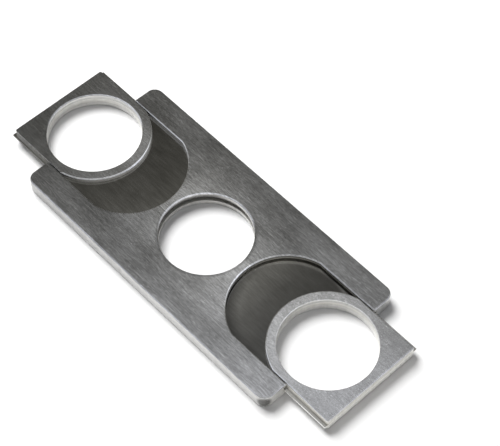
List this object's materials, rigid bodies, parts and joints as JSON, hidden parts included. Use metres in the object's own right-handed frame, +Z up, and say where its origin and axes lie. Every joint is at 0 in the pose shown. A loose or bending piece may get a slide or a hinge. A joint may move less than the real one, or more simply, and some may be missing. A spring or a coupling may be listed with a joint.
{
  "type": "guillotine cigar cutter",
  "caption": "Flat steel pocket cutter: a sandwich body with a round cutting hole and opposed sliding blades, each drawn by a finger ring to shear what is put through the hole.",
  "frame": {"origin": "middle of the cutting hole, on the underside of the rear plate", "axes": "+X along the length, the way the right slide is drawn out; +Y across to the far side; +Z up through the thickness, out of the front plate"},
  "size_m": [0.113, 0.0428, 0.004],
  "materials": {
    "plate_steel": "brushed along the length",
    "ring_steel": "brushed along the length",
    "blade_steel": "polished",
    "strip_steel": "satin, as cut",
    "dowel_steel": "ground"
  },
  "bodies": {
    "frame": {"front_plate": "plate_steel", "rear_plate": "plate_steel", "near_guide_rail": "strip_steel", "far_guide_rail": "strip_steel", "frame_dowel_left_near": "dowel_steel", "frame_dowel_left_far": "dowel_steel", "frame_dowel_right_near": "dowel_steel", "frame_dowel_right_far": "dowel_steel"},
    "left_slide": {"left_blade": "blade_steel", "left_ring_front": "ring_steel", "left_ring_rear": "ring_steel", "left_ring_spacer": "strip_steel", "left_ring_dowel_near": "dowel_steel", "left_ring_dowel_far": "dowel_steel"},
    "right_slide": {"right_blade": "blade_steel", "right_ring_front": "ring_steel", "right_ring_rear": "ring_steel", "right_ring_spacer": "strip_steel", "right_ring_dowel_near": "dowel_steel", "right_ring_dowel_far": "dowel_steel"}
  },
  "joints": [
    {"name": "left_slide_close", "type": "slide", "parent": "frame", "child": "left_slide", "axis": [1, 0, 0], "range_m": [0, 0.01335]},
    {"name": "right_slide_close", "type": "slide", "parent": "frame", "child": "right_slide", "axis": [-1, 0, 0], "range_m": [0, 0.01335]}
  ]
}
